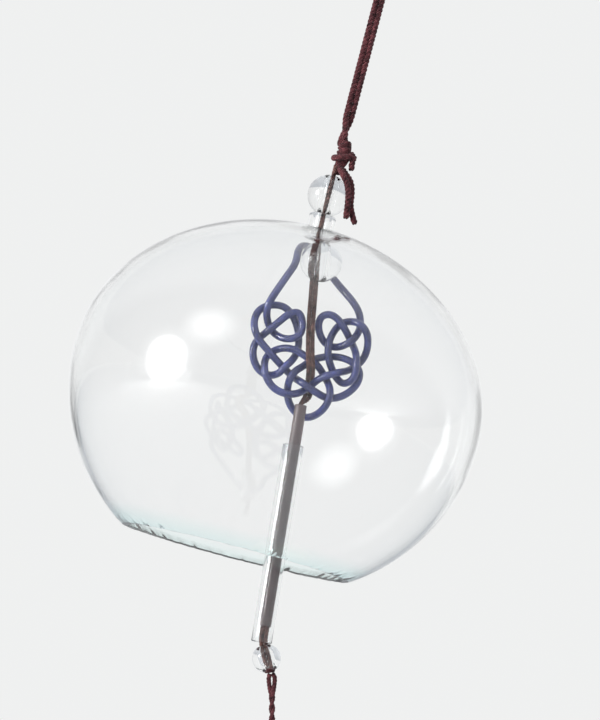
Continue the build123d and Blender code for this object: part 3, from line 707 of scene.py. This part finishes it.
# the second colour of each glass is painted edge shade, shown where the glass is seen on edge
bead_glass = make_glass_material(
    "bead glass", (0.99, 0.995, 0.995), (0.6, 0.63, 0.63), steepness=5.0, wave_scale=250.0, wave_height=0.012 * mm
)
tube_glass = make_glass_material(
    "tube glass", (0.98, 0.99, 0.99), (0.5, 0.54, 0.54), steepness=5.0, wave_scale=160.0, wave_height=0.012 * mm
)
sleeve_skin = make_glass_material(
    "clear sleeve", (0.23, 0.175, 0.18), (0.2, 0.11, 0.1), steepness=3.0, wave_scale=500.0, wave_height=0.02 * mm
)
sleeve_shader = sleeve_skin.node_tree.nodes["Principled BSDF"]
sleeve_shader.inputs["Transmission Weight"].default_value = 0.35
sleeve_shader.inputs["Roughness"].default_value = 0.25
paper = make_paper_material()


def spun(name, profile, segments, material):
    """A ring of profile points, given as radius and height, spun about the Z axis with Blender's spin."""
    bpy.ops.object.select_all(action="DESELECT")
    bpy.ops.mesh.primitive_circle_add(vertices=len(profile), radius=bell_radius)
    piece = bpy.context.object
    piece.name = name
    piece.data.name = name
    for vertex, (radius, height) in zip(piece.data.vertices, profile):
        vertex.co = (radius, 0, height)
    bpy.ops.object.mode_set(mode="EDIT")
    bpy.ops.mesh.select_all(action="SELECT")
    bpy.ops.mesh.spin(steps=segments, angle=2 * math.pi, center=(0, 0, 0), axis=(0, 0, 1))
    bpy.ops.mesh.select_all(action="SELECT")
    bpy.ops.mesh.remove_doubles(threshold=0.002 * mm)
    bpy.ops.mesh.normals_make_consistent(inside=False)
    bpy.ops.object.mode_set(mode="OBJECT")
    bpy.ops.object.shade_smooth_by_angle(angle=smooth_angle)
    piece.data.materials.append(material)
    return piece


def place_along(piece, centre, axis):
    """Move a piece that was made on the Z axis: its middle to centre, its Z axis along axis."""
    turn = Vector((0, 0, 1)).rotation_difference(axis)
    piece.data.transform(Matrix.Translation(centre) @ turn.to_matrix().to_4x4())


def arc_places(centre, radius, start, end, count):
    """Points of a round arc as radius and height; the angles are in degrees from the horizontal."""
    places = []
    for number in range(count + 1):
        angle = math.radians(start + (end - start) * number / count)
        places.append((centre[0] + radius * math.cos(angle), centre[1] + radius * math.sin(angle)))
    return places


def belly_places(belly, mouth, count):
    """Profile points from the rim up to the belly."""
    centre = (belly**2 - mouth**2 - belly_height**2) / (2 * (belly - mouth))
    turn = math.degrees(math.asin(belly_height / (belly - centre)))
    return arc_places((centre, belly_level), belly - centre, -turn, 0, count)


def crown_places(belly, rise, reach, count):
    """Profile points of the ellipse from the belly up to where its radius is reach."""
    turn = math.acos(reach / belly)
    places = []
    for number in range(1, count + 1):
        angle = turn * number / count
        places.append((belly * math.cos(angle), belly_level + rise * math.sin(angle)))
    return places


def make_bell():
    """The bell: one blown shell with a drawn-up lip, its rim cracked off and left rough."""
    outside = belly_places(bell_radius, mouth_radius, 30)
    outside += crown_places(bell_radius, crown_rise, lip_radius, 44)
    lip = arc_places((lip_radius - lip_round, lip_level - lip_round), lip_round, 0, 90, 6)
    hole = arc_places((hole_radius + hole_round, lip_level - hole_round), hole_round, 90, 180, 4)
    inside = crown_places(inside_radius, inside_rise, hole_radius, 44)[::-1]
    inside += belly_places(inside_radius, mouth_radius - wall, 30)[::-1]
    bell = spun("bell", outside + lip + hole + inside, 320, bell_glass)
    for vertex in bell.data.vertices:
        place = vertex.co
        blown = 0.5 + 0.5 * noise.noise(place * 28)
        outward = Vector((place.x, place.y, 0)).normalized()
        place -= outward * (blown_depth * blown)
        above_rim = place.z + rim_drop
        if above_rim < 0.05 * mm:
            angle = math.atan2(place.y, place.x)
            crack = noise.noise(Vector((math.cos(angle), math.sin(angle), 0)) * 9)
            chip = max(0.0, noise.noise(Vector((place.x, place.y, 0)) * 900)) ** 2
            place.z += (0.12 + 0.1 * crack) * mm + chip * 0.9 * mm
    bell.data.materials.append(cut_edge)
    for face in bell.data.polygons:
        if face.center.z < -rim_drop + cut_face_height and abs(face.normal.z) > 0.6:
            face.material_index = 1
    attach(bell, "bell")
    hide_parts("glass_bell")


def make_bead(name, centre, axis, radius, bore, body, node):
    """A drilled glass ball, with soft edges where its bore comes out."""
    bore_radius = bore / 2
    soft = 0.2 * mm
    turn = math.degrees(math.acos((bore_radius + soft) / radius))
    half = radius * math.sin(math.radians(turn))
    outline = arc_places((0, 0), radius, -turn, turn, 48)
    outline += arc_places((bore_radius + soft, half - soft), soft, 90, 180, 4)[1:]
    outline += [(bore_radius, half * share) for share in (0.6, 0.3, 0.0, -0.3, -0.6)]
    outline += arc_places((bore_radius + soft, -half + soft), soft, 180, 270, 4)[:-1]
    bead = spun(name, outline, 72, bead_glass)
    place_along(bead, centre, axis)
    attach(bead, body)
    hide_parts(node)


def make_pipe(name, top, down, radius, thickness, length, material, body, node):
    """A drawn pipe with softened ends."""
    soft = thickness * 0.4
    inner = radius - thickness
    outline = arc_places((radius - soft, -soft), soft, 90, 0, 4)
    outline += [(radius, -length * share) for share in (0.1, 0.3, 0.5, 0.7, 0.9)]
    outline += arc_places((radius - soft, -length + soft), soft, 0, -90, 4)
    outline += arc_places((inner + soft, -length + soft), soft, -90, -180, 4)
    outline += [(inner, -length * share) for share in (0.9, 0.7, 0.5, 0.3, 0.1)]
    outline += arc_places((inner + soft, -soft), soft, 180, 90, 4)
    pipe = spun(name, outline, 64, material)
    place_along(pipe, top, -down)
    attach(pipe, body)
    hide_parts(node)


def make_hanging_cord():
    """The doubled hanging cord: up from the knot, round the hook and down again, crossing itself once."""
    eye_half = (hook_space + hanging_strand) / 2
    half = hanging_spacing / 2
    in_knot, over_knot, crossing, over_crossing, side_by_side = (knot_top.z + rise for rise in CORD_RISES)
    rising = [
        Vector((half * 0.6, 0, in_knot)),
        Vector((half * 0.7, -by_crossing_depth, over_knot)),
        Vector((0, -crossing_depth, crossing)),
        Vector((-half, -by_crossing_depth, over_crossing)),
        Vector((-half, 0, side_by_side)),
        Vector((-half, 0, -loop_length)),
        Vector((-half, 0, -loop_length + loop_parting)),
        Vector((-eye_half, 0, -eye_height)),
        Vector((-eye_half, 0, loop_top)),
    ]
    points = rising + [Vector((-place.x, -place.y, place.z)) for place in reversed(rising)]
    piece, line = twisted_strand("hanging_cord", points, hanging_strand, hanging_pitch, maroon)
    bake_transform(piece)
    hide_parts("hanging_loop", "hanging_strand_left", "hanging_strand_right")


def make_hanging_knot():
    """The knot above the beads: wraps over a core, and two cut tails."""
    points = [knot_foot + seen_step(*step) for step in WRAP_ROUTE]
    winding = spline_line(points, 0.2 * mm)
    core_steps = [(12, -24), (10.5, -19), (8.5, -13), (7, -8), (5, -3), (2, 3), (0.5, 9)]
    core = [knot_foot + seen_step(*step) for step in core_steps]
    core_radii = [0.75 * mm, 1.05 * mm, 1.3 * mm, 1.4 * mm, 1.15 * mm, 0.85 * mm, 0.6 * mm]
    lines = plies_of(winding, hanging_strand, hanging_pitch, 3) + [core]
    ply_radii = rounded_ends(len(winding), hanging_strand * ply_radius_share, True, False)
    knot = tube_mesh("hanging_knot_wraps", lines, [ply_radii] * 3 + [core_radii], 10)
    knot.data.materials.append(maroon)
    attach(knot, "inner_cord")
    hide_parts("hanging_knot")
    for word, route in (("long", TAIL_LONG_ROUTE), ("short", TAIL_SHORT_ROUTE)):
        points = [knot_foot + seen_step(*step) for step in route]
        tail = twisted_strand(
            "tail_" + word, points, tail_strand, tail_pitch, maroon, cut_end=True
        )[0]
        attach(tail, "inner_cord")
        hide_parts("cord_tail_" + word)


def make_inner_cord():
    """The doubled cord from the upper knot through both beads, and the short link to the sleeve."""
    middle = [knot_foot] + [hung(x, y, near) for x, y, near, turn in INNER_ROUTE]
    middle.append(hung(*INNER_END_SEEN))
    turns = [INNER_ROUTE[0][3]] + [turn for x, y, near, turn in INNER_ROUTE] + [0]
    link_middle = [hung(x, y, near) for x, y, near, turn in LINK_ROUTE]
    link_turns = [turn for x, y, near, turn in LINK_ROUTE]
    for side, word in ((1, "left"), (-1, "right")):
        points = pair_strand(middle, turns, side)
        piece, line = twisted_strand("inner_cord_" + word, points, strand, strand_pitch, brown)
        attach(piece, "inner_cord")
        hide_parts("inner_strand_" + word)
        points = pair_strand(link_middle, link_turns, side)
        link = twisted_strand(
            "link_cord_" + word, points, strand * link_strand_share, strand_pitch, brown,
            step=0.12 * mm
        )[0]
        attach(link, "link")
        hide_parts("link_strand_" + word)


def make_sleeve_cord():
    """The doubled cord in the sleeve, which bends into the bottom bead's slanting bore."""
    run = (bead_mouth - sleeve_top).dot(sleeve_down) - bottom_bead_radius
    bend_start = sleeve_top + sleeve_down * run
    sleeve_across = Vector((-sleeve_down.z, 0, sleeve_down.x))
    bead_across = Vector((-bead_down.z, 0, bead_down.x))
    diagonal = (sleeve_across + toward_viewer).normalized()
    for side, word in ((1, "left"), (-1, "right")):
        shift = half_pair * side
        points = [
            sleeve_top - sleeve_down * 0.45 * mm + toward_viewer * shift,
            sleeve_top + sleeve_down * (run / 2) + diagonal * shift,
            bend_start + sleeve_across * shift,
            bead_mouth + bead_across * shift,
            stop_knot_top + bead_across * shift,
        ]
        piece, line = twisted_strand("sleeve_cord_" + word, points, strand, strand_pitch, brown)
        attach(piece, "clapper_cord")
        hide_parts("sleeve_strand_" + word)


def make_pull_cord():
    """Under the bottom bead: two strands that close into a twist, the strip's knot and its loop."""
    wound_knot("stop_knot_wraps", stop_knot_top, bead_down, stop_knot_width, stop_knot_height, strand * 0.85,
               "clapper_cord", "stop_knot")
    for word, route in (("left", PULL_LEFT_ROUTE), ("right", PULL_RIGHT_ROUTE)):
        steps = [stop_knot_foot + seen_step(*step) for step in route]
        points = [stop_knot_foot + (steps[0] - stop_knot_foot) * 0.35 - bead_down * 0.05 * mm] + steps
        points.append(twist_top + pull_down * 0.3 * mm)
        piece = twisted_strand("pull_cord_" + word, points, strand, strand_pitch, maroon)[0]
        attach(piece, "pull_strands")
        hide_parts("pull_strand_" + word)
    middle = [twist_top + pull_down * (pull_twist_length + 0.5 * mm) * share for share in (0, 0.33, 0.67, 1)]
    axis = spline_line(middle, 0.16 * mm)
    halves = plies_of(axis, pull_twist_width * 0.8, twist_pitch, 2)
    lines = []
    for half in halves:
        lines += plies_of(half, pull_twist_width * 0.5, twist_ply_pitch, 3)
    radii = [[pull_twist_width * 0.5 * ply_radius_share * 1.05] * len(axis)] * 6
    twist = tube_mesh("pull_twist_cord", lines, radii, strand_sides)
    twist.data.materials.append(maroon)
    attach(twist, "pull_twist")
    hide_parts("pull_twist")
    wound_knot("strip_knot_wraps", twist_foot + pull_down * hole_play, pull_down, strip_knot_width,
               strip_knot_height, strand * 0.95, "strip_loop", "strip_knot")
    shoulder = loop_drop / 2
    reach = toward_viewer * (loop_depth / 2)
    points = [
        strip_knot_foot - pull_down * 0.3 * mm + toward_viewer * half_pair,
        strip_knot_foot + pull_down * shoulder + reach,
        strip_knot_foot + pull_down * loop_drop + reach,
        strip_knot_foot + pull_down * loop_drop - reach,
        strip_knot_foot + pull_down * shoulder - reach,
        strip_knot_foot - pull_down * 0.3 * mm - toward_viewer * half_pair,
    ]
    loop = twisted_strand("strip_loop_cord", points, strand, strand_pitch, maroon)[0]
    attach(loop, "strip_loop")
    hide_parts("strip_loop")


def make_ornament():
    """The decorative knot: one smooth shiny strand that loops and crosses itself."""
    line = spline_line([hung(*point) for point in KNOT_ROUTE], 0.25 * mm)
    piece = tube_mesh("ornament_strand", [line], [[knot_strand / 2] * len(line)], 16)
    piece.data.materials.append(slate_blue)
    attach(piece, "inner_cord")
    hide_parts("blue_knot")


def make_room(right, up, near):
    """The world: a pale wall, a dimmer room that the glass mirrors, and soft light from all round."""
    world = bpy.data.worlds.new("room")
    bpy.context.scene.world = world
    world.use_nodes = True
    tree = world.node_tree
    tree.nodes.clear()
    path = tree.nodes.new("ShaderNodeLightPath")
    place = tree.nodes.new("ShaderNodeTexCoord")
    toward_room = tree.nodes.new("ShaderNodeVectorMath")
    toward_room.operation = "DOT_PRODUCT"
    room_way = (right * -0.244 - up * 0.608 + near * 0.755).normalized()
    toward_room.inputs[1].default_value = room_way
    edge = tree.nodes.new("ShaderNodeMapRange")
    edge.interpolation_type = "SMOOTHSTEP"
    edge.inputs["From Min"].default_value = -0.58
    edge.inputs["From Max"].default_value = -0.3
    mirrored = colour_mix(tree, (0.95, 0.96, 0.97), (0.36, 0.37, 0.39))
    straight = tree.nodes.new("ShaderNodeMath")
    straight.operation = "MAXIMUM"
    light = tree.nodes.new("ShaderNodeBackground")
    light.inputs["Color"].default_value = (0.92, 0.95, 1.0, 1)
    light.inputs["Strength"].default_value = 0.72
    shown = tree.nodes.new("ShaderNodeBackground")
    shown.inputs["Color"].default_value = (0.866, 0.874, 0.872, 1)
    mirror = tree.nodes.new("ShaderNodeBackground")
    with_mirror = tree.nodes.new("ShaderNodeMixShader")
    with_view = tree.nodes.new("ShaderNodeMixShader")
    output = tree.nodes.new("ShaderNodeOutputWorld")
    links = tree.links
    links.new(place.outputs["Generated"], toward_room.inputs[0])
    links.new(toward_room.outputs["Value"], edge.inputs["Value"])
    links.new(edge.outputs["Result"], mirrored.inputs["Factor"])
    links.new(mirrored.outputs["Result"], mirror.inputs["Color"])
    links.new(path.outputs["Is Camera Ray"], straight.inputs[0])
    links.new(path.outputs["Is Transmission Ray"], straight.inputs[1])
    links.new(path.outputs["Is Glossy Ray"], with_mirror.inputs["Fac"])
    links.new(light.outputs[0], with_mirror.inputs[1])
    links.new(mirror.outputs[0], with_mirror.inputs[2])
    links.new(straight.outputs[0], with_view.inputs["Fac"])
    links.new(with_mirror.outputs[0], with_view.inputs[1])
    links.new(shown.outputs[0], with_view.inputs[2])
    links.new(with_view.outputs[0], output.inputs["Surface"])


def make_lamp(name, way, distance, radius, power):
    """A round soft lamp that way from the bell, brightest in its middle."""
    data = bpy.data.lights.new(name, "AREA")
    data.shape = "DISK"
    data.size = radius * 2
    data.energy = power
    data.use_nodes = True
    tree = data.node_tree
    emission = tree.nodes["Emission"]
    inside = tree.nodes.new("ShaderNodeNewGeometry")
    middle = tree.nodes.new("ShaderNodeVectorMath")
    middle.operation = "DISTANCE"
    middle.inputs[1].default_value = (0.5, 0.5, 0)
    falls = tree.nodes.new("ShaderNodeMapRange")
    falls.interpolation_type = "SMOOTHSTEP"
    falls.inputs["From Max"].default_value = 0.5
    falls.inputs["To Min"].default_value = 2.4
    falls.inputs["To Max"].default_value = 0.0
    tree.links.new(inside.outputs["Parametric"], middle.inputs[0])
    tree.links.new(middle.outputs["Value"], falls.inputs["Value"])
    tree.links.new(falls.outputs["Result"], emission.inputs["Strength"])
    lamp = bpy.data.objects.new(name, data)
    bpy.context.collection.objects.link(lamp)
    turn = way.to_track_quat("Z", "Y").to_matrix().to_4x4()
    lamp.matrix_world = Matrix.Translation(Vector((0, 0, belly_level)) + way * distance) @ turn


def make_floor():
    """A plain pale floor under the hanging bell."""
    bpy.ops.object.select_all(action="DESELECT")
    bpy.ops.mesh.primitive_plane_add(size=floor_size, location=(0, 0, floor_level))
    floor = bpy.context.object
    floor.name = "floor"
    floor.data.materials.append(new_material("pale floor", (0.8, 0.81, 0.81), 0.9)[0])


picture_right, picture_up, picture_near = make_camera()
bpy.context.scene.view_settings.view_transform = "Standard"
make_hanging_cord()
make_inner_cord()
make_sleeve_cord()
make_hanging_knot()
make_pull_cord()
make_ornament()
make_bell()
upper_bead_centre = Vector((0, 0, upper_bead_level))
inner_bead_axis = (hung(*INNER_ROUTE[1][:3]) - hung(*INNER_ROUTE[3][:3])).normalized()
make_bead("upper_bead_ball", upper_bead_centre, Vector((0, 0, 1)), upper_bead_radius, bead_bore,
          "upper_bead", "upper_bead")
make_bead("inner_bead_ball", inner_bead_centre, inner_bead_axis, inner_bead_radius, bead_bore,
          "inner_cord", "inner_bead")
make_bead("bottom_bead_ball", bottom_bead_centre, -bead_down, bottom_bead_radius, bottom_bead_bore,
          "bottom_bead", "bottom_bead")
make_pipe("clapper_tube", tube_top, sleeve_down, tube_radius, tube_wall, tube_length, tube_glass,
          "tube", "glass_tube")
make_pipe("sleeve", sleeve_top, sleeve_down, sleeve_bore_radius + sleeve_wall, sleeve_wall, sleeve_length,
          sleeve_skin, "clapper_cord", "inner_sleeve")
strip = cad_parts["paper_strip"]
strip.data.materials.clear()
strip.data.materials.append(paper)

make_room(picture_right, picture_up, picture_near)
lamp_way = (picture_right * -0.863 + picture_up * 0.289 + picture_near * 0.411).normalized()
glow_way = (picture_right * -0.52 + picture_up * 0.665 + picture_near * 0.535).normalized()
make_lamp("lamp", lamp_way, distance=1.0, radius=0.26, power=8.0)
make_lamp("lamp_glow", lamp_way, distance=1.3, radius=0.55, power=2.6)
make_lamp("window_glow", glow_way, distance=1.2, radius=0.4, power=2.2)
make_floor()
